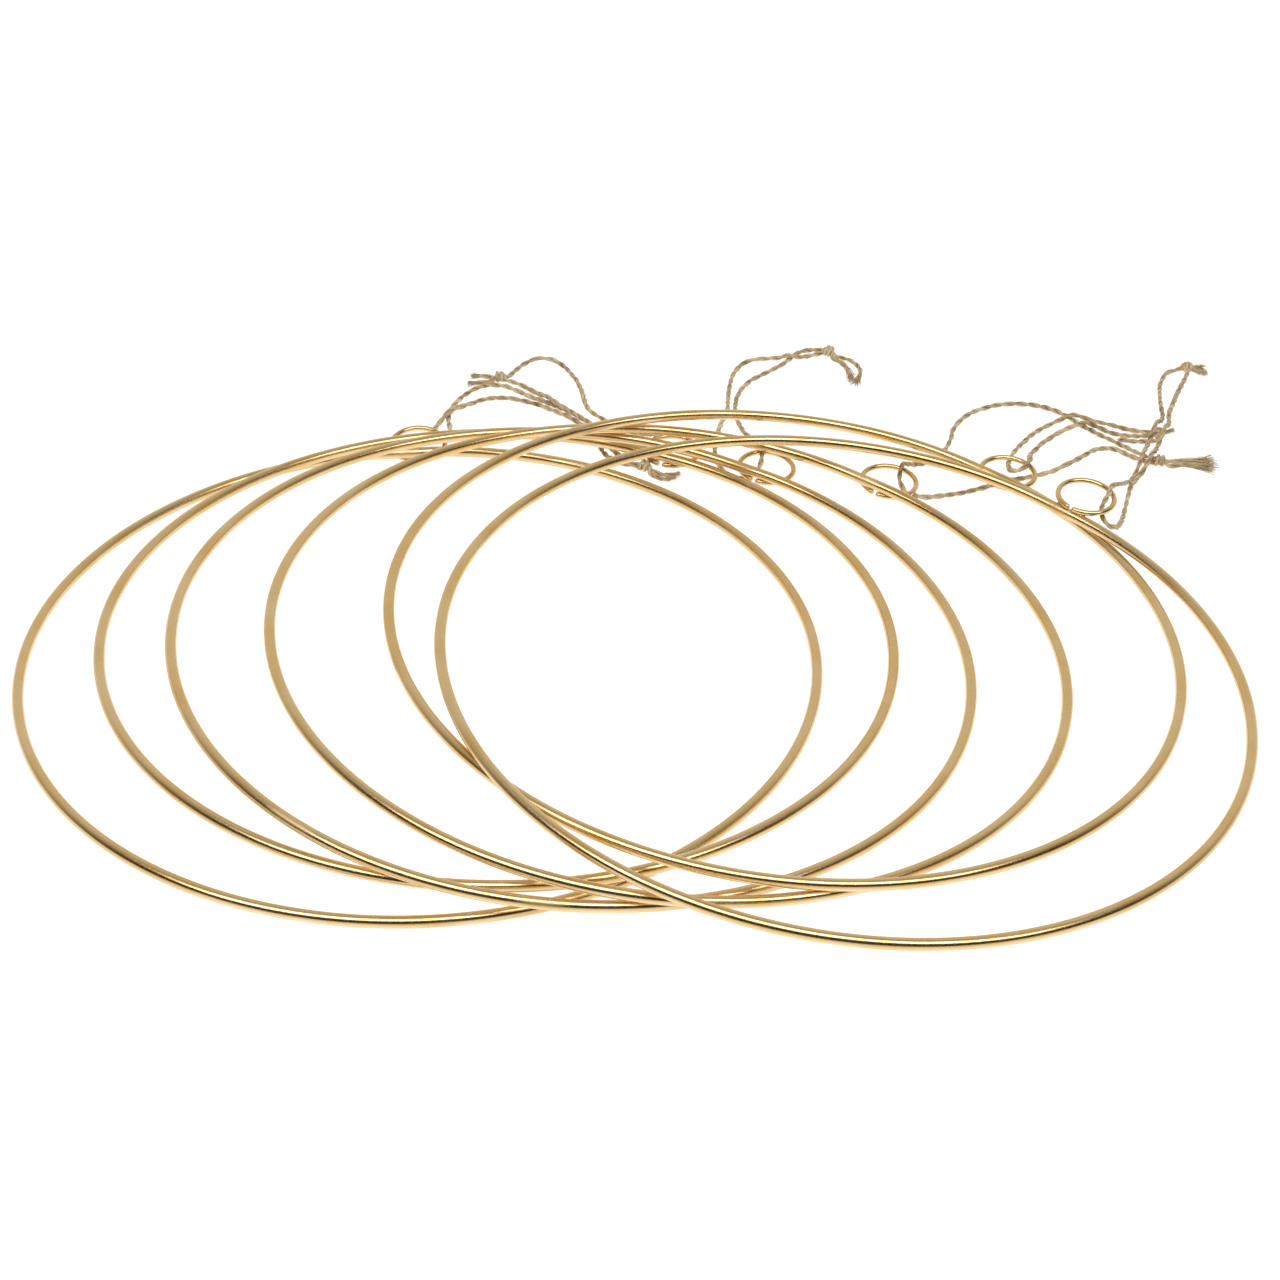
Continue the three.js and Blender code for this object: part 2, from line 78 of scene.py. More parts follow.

# %% [markdown]
# ## The twine's routes
# Each loop of twine starts in its knot, runs to the eyelet, passes through it and comes back to the knot.
# The routes are lists of points in metres, and a Catmull-Rom curve through them gives the smooth centreline.
# The places seen from above were chosen. The heights over and under the bars, and the extra points beside
# those crossings, were worked out once by a small separate program, and so these lists are longer than routes
# chosen wholly by hand would be. The table holds the twine up, so no centreline comes nearer to it than the
# twine's own half thickness.

# %% Routes of the six loops, bottom frame first
LOOPS = {
    1: {
        "twine": [
            (0.0026, 0.1691, 0.0019), (0.0013, 0.1697, 0.0019), (0.0000, 0.1704, 0.0016),
            (-0.0050, 0.1739, 0.0014), (-0.0100, 0.1799, 0.0014), (-0.0140, 0.1879, 0.0014),
            (-0.0170, 0.1969, 0.0014), (-0.0210, 0.2059, 0.0014), (-0.0280, 0.2139, 0.0014),
            (-0.0360, 0.2219, 0.0014), (-0.0450, 0.2289, 0.0014), (-0.0540, 0.2349, 0.0014),
            (-0.0620, 0.2409, 0.0014), (-0.0690, 0.2459, 0.0014), (-0.0760, 0.2479, 0.0014),
            (-0.0830, 0.2449, 0.0014), (-0.0890, 0.2379, 0.0014), (-0.0935, 0.2289, 0.0014),
            (-0.0960, 0.2189, 0.0014), (-0.0960, 0.2089, 0.0014), (-0.0940, 0.1989, 0.0016),
            (-0.0932, 0.1948, 0.0022), (-0.0930, 0.1909, 0.0035), (-0.0941, 0.1874, 0.0052),
            (-0.0948, 0.1862, 0.0058), (-0.0960, 0.1849, 0.0060), (-0.1010, 0.1849, 0.0037),
            (-0.1040, 0.1889, 0.0018), (-0.1045, 0.1959, 0.0014), (-0.1020, 0.2029, 0.0016),
            (-0.1001, 0.2069, 0.0024), (-0.0980, 0.2109, 0.0037), (-0.0971, 0.2127, 0.0042),
            (-0.0957, 0.2154, 0.0042), (-0.0930, 0.2199, 0.0030), (-0.0897, 0.2241, 0.0019),
            (-0.0860, 0.2279, 0.0015), (-0.0780, 0.2329, 0.0014), (-0.0690, 0.2344, 0.0014),
            (-0.0600, 0.2319, 0.0014), (-0.0510, 0.2274, 0.0014), (-0.0430, 0.2219, 0.0014),
            (-0.0350, 0.2154, 0.0014), (-0.0280, 0.2074, 0.0014), (-0.0230, 0.1984, 0.0014),
            (-0.0195, 0.1889, 0.0014), (-0.0160, 0.1799, 0.0014), (-0.0100, 0.1729, 0.0015),
            (-0.0059, 0.1704, 0.0018), (-0.0020, 0.1684, 0.0024), (-0.0003, 0.1674, 0.0027),
            (0.0012, 0.1665, 0.0021),
        ],
        "knot": (0.0035, 0.1674),
        "tails": [
            [(0.0070, 0.1654), (0.0110, 0.1624), (0.0160, 0.1614), (0.0205, 0.1629)],
            [(0.0065, 0.1629), (0.0100, 0.1589), (0.0145, 0.1574), (0.0185, 0.1589)],
        ],
    },
    2: {
        "twine": [
            (-0.0715, 0.2554, 0.0019), (-0.0702, 0.2555, 0.0019), (-0.0690, 0.2559, 0.0016),
            (-0.0650, 0.2639, 0.0014), (-0.0600, 0.2719, 0.0014), (-0.0540, 0.2769, 0.0014),
            (-0.0470, 0.2759, 0.0014), (-0.0410, 0.2699, 0.0014), (-0.0360, 0.2609, 0.0014),
            (-0.0320, 0.2509, 0.0014), (-0.0295, 0.2409, 0.0014), (-0.0280, 0.2319, 0.0014),
            (-0.0250, 0.2229, 0.0014), (-0.0180, 0.2144, 0.0014), (-0.0100, 0.2074, 0.0014),
            (-0.0020, 0.2009, 0.0019), (0.0012, 0.1979, 0.0030), (0.0040, 0.1949, 0.0046),
            (0.0064, 0.1920, 0.0065), (0.0073, 0.1907, 0.0073), (0.0085, 0.1889, 0.0077),
            (0.0092, 0.1877, 0.0072), (0.0102, 0.1859, 0.0063), (0.0110, 0.1829, 0.0047),
            (0.0090, 0.1784, 0.0023), (0.0035, 0.1794, 0.0015), (-0.0030, 0.1839, 0.0014),
            (-0.0100, 0.1899, 0.0022), (-0.0135, 0.1933, 0.0035), (-0.0149, 0.1947, 0.0040),
            (-0.0170, 0.1969, 0.0043), (-0.0205, 0.2009, 0.0040), (-0.0240, 0.2049, 0.0038),
            (-0.0310, 0.2129, 0.0041), (-0.0390, 0.2219, 0.0039), (-0.0426, 0.2259, 0.0041),
            (-0.0460, 0.2299, 0.0043), (-0.0472, 0.2315, 0.0042), (-0.0490, 0.2339, 0.0036),
            (-0.0520, 0.2379, 0.0023), (-0.0550, 0.2415, 0.0016), (-0.0580, 0.2449, 0.0014),
            (-0.0640, 0.2499, 0.0014), (-0.0690, 0.2524, 0.0016), (-0.0703, 0.2525, 0.0019),
            (-0.0715, 0.2524, 0.0019),
        ],
        "knot": (-0.0730, 0.2539),
        "tails": [
            [(-0.0770, 0.2559), (-0.0820, 0.2569), (-0.0870, 0.2569)],
            [(-0.0770, 0.2519), (-0.0820, 0.2499), (-0.0880, 0.2489)],
        ],
    },
    3: {
        "twine": [
            (0.0975, 0.2907, 0.0019), (0.0963, 0.2911, 0.0019), (0.0950, 0.2914, 0.0016),
            (0.0890, 0.2914, 0.0014), (0.0830, 0.2879, 0.0014), (0.0790, 0.2819, 0.0014),
            (0.0750, 0.2759, 0.0014), (0.0700, 0.2699, 0.0014), (0.0640, 0.2639, 0.0014),
            (0.0580, 0.2579, 0.0014), (0.0540, 0.2509, 0.0014), (0.0510, 0.2429, 0.0014),
            (0.0495, 0.2339, 0.0014), (0.0490, 0.2249, 0.0014), (0.0500, 0.2159, 0.0014),
            (0.0520, 0.2079, 0.0014), (0.0550, 0.1999, 0.0015), (0.0580, 0.1919, 0.0026),
            (0.0600, 0.1839, 0.0061), (0.0603, 0.1799, 0.0081), (0.0604, 0.1783, 0.0089),
            (0.0605, 0.1759, 0.0101), (0.0606, 0.1743, 0.0108), (0.0609, 0.1718, 0.0103),
            (0.0611, 0.1702, 0.0095), (0.0610, 0.1679, 0.0084), (0.0603, 0.1647, 0.0067),
            (0.0590, 0.1619, 0.0052), (0.0545, 0.1589, 0.0026), (0.0490, 0.1594, 0.0015),
            (0.0440, 0.1639, 0.0014), (0.0405, 0.1709, 0.0014), (0.0385, 0.1789, 0.0014),
            (0.0385, 0.1889, 0.0014), (0.0395, 0.1989, 0.0014), (0.0410, 0.2089, 0.0014),
            (0.0430, 0.2179, 0.0014), (0.0450, 0.2269, 0.0014), (0.0455, 0.2359, 0.0014),
            (0.0460, 0.2449, 0.0014), (0.0470, 0.2549, 0.0014), (0.0490, 0.2649, 0.0014),
            (0.0530, 0.2739, 0.0014), (0.0600, 0.2799, 0.0014), (0.0680, 0.2809, 0.0018),
            (0.0720, 0.2801, 0.0026), (0.0736, 0.2796, 0.0032), (0.0760, 0.2794, 0.0041),
            (0.0776, 0.2796, 0.0043), (0.0801, 0.2803, 0.0037), (0.0840, 0.2819, 0.0024),
            (0.0871, 0.2836, 0.0017), (0.0900, 0.2854, 0.0014), (0.0950, 0.2879, 0.0016),
            (0.0963, 0.2879, 0.0019), (0.0975, 0.2877, 0.0019),
        ],
        "knot": (0.0995, 0.2884),
        "tails": [
            [(0.1035, 0.2854), (0.1095, 0.2819), (0.1140, 0.2759), (0.1155, 0.2679), (0.1130, 0.2599)],
            [(0.1015, 0.2839), (0.1060, 0.2779), (0.1090, 0.2709), (0.1100, 0.2629)],
        ],
    },
    4: {
        "twine": [
            (0.2568, 0.1809, 0.0019), (0.2555, 0.1813, 0.0019), (0.2540, 0.1819, 0.0016),
            (0.2475, 0.1859, 0.0014), (0.2400, 0.1929, 0.0014), (0.2330, 0.1949, 0.0014),
            (0.2260, 0.1909, 0.0014), (0.2190, 0.1839, 0.0014), (0.2120, 0.1779, 0.0014),
            (0.2050, 0.1719, 0.0014), (0.1980, 0.1679, 0.0014), (0.1910, 0.1649, 0.0014),
            (0.1840, 0.1629, 0.0014), (0.1770, 0.1599, 0.0014), (0.1700, 0.1554, 0.0014),
            (0.1630, 0.1519, 0.0014), (0.1560, 0.1489, 0.0014), (0.1490, 0.1469, 0.0014),
            (0.1420, 0.1454, 0.0014), (0.1355, 0.1459, 0.0015), (0.1305, 0.1479, 0.0025),
            (0.1280, 0.1529, 0.0050), (0.1279, 0.1559, 0.0065), (0.1285, 0.1589, 0.0083),
            (0.1297, 0.1620, 0.0096), (0.1315, 0.1649, 0.0081), (0.1341, 0.1679, 0.0060),
            (0.1370, 0.1709, 0.0041), (0.1400, 0.1739, 0.0026), (0.1430, 0.1769, 0.0017),
            (0.1490, 0.1839, 0.0014), (0.1540, 0.1919, 0.0014), (0.1570, 0.2009, 0.0014),
            (0.1590, 0.2099, 0.0014), (0.1630, 0.2189, 0.0014), (0.1690, 0.2269, 0.0014),
            (0.1770, 0.2329, 0.0014), (0.1860, 0.2369, 0.0014), (0.1960, 0.2379, 0.0014),
            (0.2060, 0.2359, 0.0014), (0.2140, 0.2309, 0.0014), (0.2200, 0.2239, 0.0014),
            (0.2260, 0.2159, 0.0014), (0.2320, 0.2089, 0.0014), (0.2380, 0.2029, 0.0014),
            (0.2440, 0.1964, 0.0014), (0.2500, 0.1904, 0.0014), (0.2550, 0.1859, 0.0016),
            (0.2564, 0.1848, 0.0019), (0.2578, 0.1838, 0.0019),
        ],
        "knot": (0.2590, 0.1814),
        "tails": [
            [(0.2635, 0.1829), (0.2700, 0.1839), (0.2765, 0.1839), (0.2820, 0.1829)],
            [(0.2630, 0.1789), (0.2700, 0.1799), (0.2760, 0.1789), (0.2820, 0.1774)],
        ],
    },
    5: {
        "twine": [
            (0.2598, 0.2102, 0.0019), (0.2585, 0.2108, 0.0019), (0.2570, 0.2114, 0.0016),
            (0.2490, 0.2134, 0.0014), (0.2400, 0.2179, 0.0014), (0.2310, 0.2219, 0.0017),
            (0.2265, 0.2228, 0.0026), (0.2247, 0.2230, 0.0032), (0.2220, 0.2229, 0.0042),
            (0.2202, 0.2226, 0.0042), (0.2174, 0.2218, 0.0033), (0.2130, 0.2199, 0.0021),
            (0.2050, 0.2139, 0.0014), (0.1980, 0.2059, 0.0014), (0.1920, 0.1969, 0.0014),
            (0.1870, 0.1879, 0.0014), (0.1840, 0.1789, 0.0015), (0.1833, 0.1749, 0.0021),
            (0.1830, 0.1709, 0.0033), (0.1830, 0.1629, 0.0067), (0.1860, 0.1584, 0.0096),
            (0.1881, 0.1587, 0.0108), (0.1900, 0.1599, 0.0120), (0.1912, 0.1621, 0.0128),
            (0.1920, 0.1649, 0.0120), (0.1926, 0.1683, 0.0102), (0.1930, 0.1719, 0.0083),
            (0.1940, 0.1809, 0.0041), (0.1957, 0.1860, 0.0025), (0.1980, 0.1909, 0.0017),
            (0.2040, 0.1999, 0.0014), (0.2100, 0.2069, 0.0014), (0.2170, 0.2129, 0.0017),
            (0.2209, 0.2144, 0.0026), (0.2250, 0.2149, 0.0040), (0.2266, 0.2148, 0.0043),
            (0.2290, 0.2143, 0.0040), (0.2330, 0.2129, 0.0027), (0.2370, 0.2109, 0.0018),
            (0.2410, 0.2089, 0.0015), (0.2490, 0.2074, 0.0014), (0.2560, 0.2074, 0.0016),
            (0.2578, 0.2073, 0.0019), (0.2595, 0.2072, 0.0019),
        ],
        "knot": (0.2620, 0.2089),
        "tails": [
            [(0.2620, 0.2044), (0.2560, 0.2024), (0.2490, 0.2019), (0.2430, 0.2034)],
            [(0.2660, 0.2114), (0.2700, 0.2139)],
        ],
    },
    6: {
        "twine": [
            (0.2856, 0.2779, 0.0019), (0.2844, 0.2774, 0.0019), (0.2830, 0.2769, 0.0016),
            (0.2780, 0.2749, 0.0014), (0.2740, 0.2679, 0.0014), (0.2710, 0.2589, 0.0014),
            (0.2695, 0.2489, 0.0014), (0.2685, 0.2389, 0.0014), (0.2680, 0.2299, 0.0015),
            (0.2672, 0.2254, 0.0019), (0.2660, 0.2209, 0.0031), (0.2641, 0.2164, 0.0051),
            (0.2633, 0.2146, 0.0060), (0.2620, 0.2119, 0.0074), (0.2612, 0.2101, 0.0082),
            (0.2600, 0.2074, 0.0077), (0.2592, 0.2056, 0.0068), (0.2580, 0.2029, 0.0054),
            (0.2560, 0.1980, 0.0037), (0.2540, 0.1929, 0.0035), (0.2520, 0.1875, 0.0043),
            (0.2512, 0.1853, 0.0043), (0.2500, 0.1819, 0.0039), (0.2475, 0.1755, 0.0024),
            (0.2450, 0.1689, 0.0021), (0.2426, 0.1624, 0.0032), (0.2400, 0.1559, 0.0057),
            (0.2371, 0.1494, 0.0090), (0.2340, 0.1429, 0.0125), (0.2310, 0.1364, 0.0161),
            (0.2280, 0.1299, 0.0197), (0.2269, 0.1272, 0.0212), (0.2252, 0.1231, 0.0234),
            (0.2241, 0.1204, 0.0236), (0.2225, 0.1169, 0.0223), (0.2205, 0.1138, 0.0203),
            (0.2190, 0.1109, 0.0185), (0.2188, 0.1077, 0.0170), (0.2195, 0.1049, 0.0157),
            (0.2220, 0.1029, 0.0135), (0.2240, 0.1042, 0.0122), (0.2260, 0.1069, 0.0103),
            (0.2281, 0.1119, 0.0079), (0.2300, 0.1179, 0.0052), (0.2321, 0.1243, 0.0030),
            (0.2340, 0.1309, 0.0019), (0.2358, 0.1375, 0.0019), (0.2375, 0.1439, 0.0027),
            (0.2391, 0.1495, 0.0036), (0.2410, 0.1549, 0.0040), (0.2434, 0.1600, 0.0038),
            (0.2460, 0.1649, 0.0031), (0.2485, 0.1699, 0.0026), (0.2510, 0.1749, 0.0031),
            (0.2520, 0.1769, 0.0037), (0.2536, 0.1799, 0.0049), (0.2546, 0.1819, 0.0058),
            (0.2560, 0.1849, 0.0057), (0.2569, 0.1869, 0.0048), (0.2581, 0.1899, 0.0037),
            (0.2600, 0.1949, 0.0029), (0.2620, 0.1999, 0.0040), (0.2628, 0.2019, 0.0047),
            (0.2640, 0.2049, 0.0061), (0.2648, 0.2067, 0.0070), (0.2661, 0.2095, 0.0064),
            (0.2669, 0.2112, 0.0056), (0.2680, 0.2139, 0.0044), (0.2691, 0.2179, 0.0027),
            (0.2700, 0.2219, 0.0018), (0.2715, 0.2309, 0.0014), (0.2750, 0.2409, 0.0014),
            (0.2790, 0.2519, 0.0014), (0.2835, 0.2629, 0.0014), (0.2875, 0.2729, 0.0016),
            (0.2880, 0.2745, 0.0019), (0.2884, 0.2758, 0.0019),
        ],
        "knot": (0.2880, 0.2779),
        "tails": [
            [(0.2920, 0.2804), (0.2960, 0.2799)],
            [(0.2925, 0.2759), (0.2965, 0.2744)],
        ],
    },
}
print("loops:", len(LOOPS))

# %% [markdown]
# ## From points to a smooth line
# A Catmull-Rom curve passes through every point that it is given. The centripetal kind spaces its steps by
# the square root of the distance, so it doesn't overshoot where points lie close together, as they do at an
# eyelet. The line is then cut into even steps of half a millimetre, fine enough to lay the plies along it.

# %% Smooth centrelines
TWINE_DIAMETER = 2.5 * MM
TWINE_REST_HEIGHT = 1.4 * MM
FINE_STEP = 0.5 * MM


def curve_through(points):
    """A centripetal Catmull-Rom curve through the points, as a dense line of points."""
    p = np.array(points, float)
    p = np.vstack([2 * p[0] - p[1], p, 2 * p[-1] - p[-2]])
    line = []
    for a, b, c, d in zip(p, p[1:], p[2:], p[3:]):
        ab, bc, cd = (max(np.linalg.norm(v) ** 0.5, 1e-4) for v in (b - a, c - b, d - c))
        start = ((b - a) / ab - (c - a) / (ab + bc) + (c - b) / bc) * bc
        end = ((c - b) / bc - (d - b) / (bc + cd) + (d - c) / cd) * bc
        t = np.linspace(0, 1, 12, endpoint=False)[:, None]
        line.append((2 * t**3 - 3 * t**2 + 1) * b + (t**3 - 2 * t**2 + t) * start
                    + (3 * t**2 - 2 * t**3) * c + (t**3 - t**2) * end)
    return np.vstack([*line, p[-2:-1]])


def evenly(line, step):
    """The same line with its points a fixed step apart."""
    along = np.r_[0, np.cumsum(np.linalg.norm(np.diff(line, axis=0), axis=1))]
    at = np.linspace(0, along[-1], max(2, round(along[-1] / step) + 1))
    return np.stack([np.interp(at, along, line[:, k]) for k in range(3)], axis=1)


def length_of(line):
    return float(np.linalg.norm(np.diff(line, axis=0), axis=1).sum())


centrelines = {}
for number, loop in LOOPS.items():
    line = curve_through(loop["twine"])
    line[:, 2] = np.maximum(line[:, 2], TWINE_REST_HEIGHT)
    centrelines[number] = evenly(line, FINE_STEP)
    print("twine", number, "is", round(length_of(line), 3), "m long")

# %% [markdown]
# ## Frames along a line
# To wrap anything round a line, each point needs two directions across it that don't spin on their own.
# They are carried from one point to the next and only tilted with the line, which is how Blender's own curves
# work when their twist is set to minimum.

# %% Directions across a line
def across(line):
    """Unit tangents and two unit directions square to them, with the least twist along the line."""
    tangents = np.gradient(line, axis=0)
    tangents /= np.linalg.norm(tangents, axis=1)[:, None]
    side = np.cross(tangents[0], (0, 0, 1))
    if np.linalg.norm(side) < 1e-3:
        side = np.array((1.0, 0, 0))
    sides = []
    for tangent in tangents:
        side = side - tangent * (side @ tangent)
        side /= np.linalg.norm(side)
        sides.append(side)
    sides = np.array(sides)
    return tangents, sides, np.cross(tangents, sides)


for number, line in centrelines.items():
    print("twine", number, "leaves its knot towards", np.round(across(line)[0][0], 2))

# %% [markdown]
# ## Many tubes in one mesh
# A twine is two plies and a few hundred loose fibres, and all of them are thin tubes. One builder collects
# the tubes and makes a single mesh of them, which is far quicker than joining hundreds of objects. Each point
# also gets an attribute, its place on its strand, so that the material can run along the fibres.

# %% Helpers for meshes made of tubes
def smooth_noise(count, spacing, seed):
    """A wandering value between about -1 and 1, with a new random height every few samples."""
    rng = np.random.default_rng(seed)
    knots = rng.uniform(-1, 1, max(4, int(count / spacing) + 4))
    t = np.arange(count) / spacing
    i = np.minimum(t.astype(int), len(knots) - 2)
    f = t - i
    f = f * f * (3 - 2 * f)
    return knots[i] * (1 - f) + knots[i + 1] * f


FAR_OUT = 2 * MM  # the distance from the twine's middle that a loose fibre is given


class Strands:
    """Collects tubes into one mesh. Each point knows how far along and around its strand it is, and how far
    it stands from the middle of the whole twine, which is small in the groove between two plies."""

    def __init__(self):
        self.points, self.faces, self.places, self.count = [], [], [], 0

    def tube(self, line, radii, sides, start=0.0, about=None, wobble=None):
        _, u, v = across(line)
        angle = np.arange(sides) * 2 * math.pi / sides
        reach = np.asarray(radii, float).reshape(-1, 1) * np.ones((len(line), sides))
        if wobble is not None:
            reach = reach * (1 + wobble)
        rings = (line[:, None] + (reach * np.cos(angle))[..., None] * u[:, None]
                 + (reach * np.sin(angle))[..., None] * v[:, None])
        n = len(line)
        self.points.append(rings.reshape(-1, 3))
        along = np.r_[0, np.cumsum(np.linalg.norm(np.diff(line, axis=0), axis=1))] + start
        place = np.empty((n, sides, 3))
        place[..., 0] = along[:, None]
        place[..., 1] = angle[None] / (2 * math.pi)
        place[..., 2] = FAR_OUT if about is None else np.linalg.norm(rings - about[:, None], axis=2)
        self.places.append(place.reshape(-1, 3))
        base = self.count
        for i in range(n - 1):
            row = base + i * sides
            for j in range(sides):
                k = (j + 1) % sides
                self.faces.append((row + j, row + k, row + sides + k, row + sides + j))
        self.faces.append(tuple(base + j for j in reversed(range(sides))))
        self.faces.append(tuple(base + (n - 1) * sides + j for j in range(sides)))
        self.count += n * sides

    def build(self, name, material, floor=None):
        points = np.vstack(self.points)
        if floor is not None:
            points[:, 2] = np.maximum(points[:, 2], floor)
        mesh = bpy.data.meshes.new(name)
        mesh.from_pydata(points.tolist(), [], self.faces)
        place = mesh.attributes.new("strand", "FLOAT_VECTOR", "POINT")
        place.data.foreach_set("vector", np.vstack(self.places).astype(np.float32).ravel())
        mesh.polygons.foreach_set("use_smooth", [len(f) == 4 for f in self.faces])
        mesh.materials.append(material)
        piece = bpy.data.objects.new(name, mesh)
        bpy.context.scene.collection.objects.link(piece)
        return piece


print("strand builder ready")

# %% [markdown]
# ## Colours and nodes
# Colours are read off as sRGB hex values, and Blender mixes light in linear values, so one function converts
# them. One more function adds a shader node with its settings and links.

# %% Colour and node helpers
def linear(hex_value):
    """An sRGB hex colour as linear red, green, blue and alpha."""
    channels = [int(hex_value[i : i + 2], 16) / 255 for i in (1, 3, 5)]
    return (*[c / 12.92 if c <= 0.04045 else ((c + 0.055) / 1.055) ** 2.4 for c in channels], 1)


def add(tree, kind, inputs=None, stops=(), **settings):
    """A node with its settings; each input is a value or another node's output.
    The stops of a colour ramp are pairs of a position and a hex colour."""
    node = tree.nodes.new("ShaderNode" + kind)
    for name, value in settings.items():
        setattr(node, name, value)
    for name, value in (inputs or {}).items():
        socket = node.inputs[name]
        if isinstance(value, bpy.types.NodeSocket):
            tree.links.new(value, socket)
        else:
            socket.default_value = value
    for i, (position, colour) in enumerate(stops):
        elements = node.color_ramp.elements
        element = elements[i] if i < 2 else elements.new(position)
        element.position = position
        element.color = linear(colour)
    return node


def new_material(name):
    material = bpy.data.materials.new(name)
    material.use_nodes = True
    material.node_tree.nodes.clear()
    return material, material.node_tree


print("gold as linear light:", np.round(linear("#E1C38F"), 3))

# %% [markdown]
# ## Jute twine
# Jute is a bast fibre, softened with oil and water and spun dry. It is dull and straw-brown, and long fibres
# of slightly different browns run along each ply, so the colour is a noise that is stretched along the
# strand: fibres are about 0.1 mm wide and many millimetres long. They are drawn 0.35 mm wide so that they
# show. The colour is made darker near the middle of the twine, in the groove between the plies, as painted
# shade. Jute has no gloss, only a faint sheen from the fibres that stand off it.

# %% Jute
FIBRE_WIDTH = 0.35 * MM
PLY_GIRTH = 5.3 * MM  # about once round a ply
FIBRES_PER_METRE = 160
PATCH_SIZE = 9 * MM
GROOVE_DEPTH = (0.75 * MM, 1.2 * MM)  # from the middle of the twine: bottom of the groove, top of the ply


def jute_material(name, dark, middle, light):
    material, tree = new_material(name)
    strand = add(tree, "Attribute", attribute_name="strand").outputs["Vector"]
    stretched = add(tree, "VectorMath", {0: strand, 1: (FIBRES_PER_METRE, PLY_GIRTH / FIBRE_WIDTH, 0)},
                    operation="MULTIPLY").outputs["Vector"]
    fibres = add(tree, "TexNoise", {"Vector": stretched, "Scale": 1, "Detail": 3,
                                    "Roughness": 0.65}).outputs["Fac"]
    place = add(tree, "TexCoord").outputs["Object"]
    patches = add(tree, "TexNoise", {"Vector": place, "Scale": 1 / PATCH_SIZE, "Detail": 2}).outputs["Fac"]
    mixed = add(tree, "Math", {0: fibres, 1: 0.68}, operation="MULTIPLY").outputs[0]
    mixed = add(tree, "Math", {0: patches, 1: 0.32, 2: mixed}, operation="MULTIPLY_ADD").outputs[0]
    # painted shade: the colour is made darker where a point lies near the middle of the twine, in the groove
    # between the plies
    standing = add(tree, "SeparateXYZ", {0: strand}).outputs["Z"]
    shade = add(tree, "MapRange", {"Value": standing, "From Min": GROOVE_DEPTH[0],
                                   "From Max": GROOVE_DEPTH[1], "To Min": -0.07,
                                   "To Max": 0.02}).outputs[0]
    mixed = add(tree, "Math", {0: mixed, 1: shade}).outputs[0]
    colour = add(tree, "ValToRGB", {"Fac": mixed},
                 stops=[(0.33, dark), (0.49, middle), (0.66, light)]).outputs["Color"]
    bump = add(tree, "Bump", {"Height": fibres, "Strength": 0.55, "Distance": 0.18 * MM})
    shader = add(tree, "BsdfPrincipled", {
        "Base Color": colour, "Roughness": 0.92, "Specular IOR Level": 0.18,
        "Sheen Weight": 0.25, "Sheen Roughness": 0.45, "Normal": bump.outputs["Normal"],
    })
    add(tree, "OutputMaterial", {"Surface": shader.outputs["BSDF"]})
    return material


jute = jute_material("spun_jute", "#6B5433", "#C2A881", "#EEDFC2")
jute_ends = jute_material("frayed_jute", "#745C3A", "#C7AD86", "#F0E2C6")
print("jute ready")

# %% [markdown]
# ## Laying the twine
# Two plies are twisted round each other, one turn every 13 mm, and each ply swells and thins as hand-spun
# yarn does. Loose fibres stand off the surface.

# %% Lay one two-ply strand
LAY = 13 * MM  # length of one full turn of the twist
PLY_RADIUS = 0.80 * MM
PLY_OFFSET = 0.50 * MM
HAIRS_PER_MM = 0.6


def lay_plies(strands, line, seed, thin=None, sides=9):
    """Two twisted plies along a line; thin is how much of its thickness is left at each point."""
    _, u, v = across(line)
    along = np.r_[0, np.cumsum(np.linalg.norm(np.diff(line, axis=0), axis=1))]
    n = len(line)
    full = np.ones(n) if thin is None else thin
    drift = 2.2 * smooth_noise(n, 44, seed)
    for ply in (0, 1):
        phase = 2 * math.pi * along / LAY + ply * math.pi + drift
        swell = 1 + 0.20 * smooth_noise(n, 26, seed + 11 + ply)
        swell = swell + 0.06 * smooth_noise(n, 6, seed + 23 + ply)
        offset = PLY_OFFSET * full * (1 + 0.2 * smooth_noise(n, 30, seed + 31 + ply))
        core = line + (offset * np.cos(phase))[:, None] * u + (offset * np.sin(phase))[:, None] * v
        ridges = 0.07 * smooth_noise(n * sides, 2.2, seed + 41 + ply).reshape(n, sides)
        strands.tube(core, PLY_RADIUS * swell * full, sides, start=seed * 0.37, about=line,
                     wobble=ridges)


def add_hairs(strands, line, count, seed, longest=4.2 * MM, thickness=0.055 * MM, lift=0.9):
    """Loose fibres that leave the surface at a low angle and curl back."""
    rng = np.random.default_rng(seed)
    tangents, u, v = across(line)
    for _ in range(count):
        i = rng.integers(2, len(line) - 2)
        angle = rng.uniform(0, 2 * math.pi)
        out = math.cos(angle) * u[i] + math.sin(angle) * v[i]
        along = tangents[i] * rng.choice((-1, 1))
        turn = np.cross(out, along)
        long = longest * rng.uniform(0.35, 1) ** 1.3
        rise = lift * rng.uniform(0.15, 0.6)
        curl = rng.uniform(-0.5, 0.5)
        t = np.linspace(0, 1, 5)[:, None]
        start = line[i] + out * TWINE_DIAMETER * 0.42
        hair = t * along * (1 - 0.25 * t) + rise * t * (1 - 0.45 * t) * out + curl * t**2 * turn
        strands.tube(start + long * hair, thickness * np.linspace(1, 0.35, 5), 3, start=rng.uniform(0, 9))


print("one full turn of the twist every", LAY / MM, "mm")

# %% [markdown]
# ## The six loops of twine
# Every loop is its own mesh, because it hangs on its own frame and moves with it. It takes the place of the
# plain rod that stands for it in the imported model. No point may sink below the table, so the mesh stops a
# twentieth of a millimetre above it.

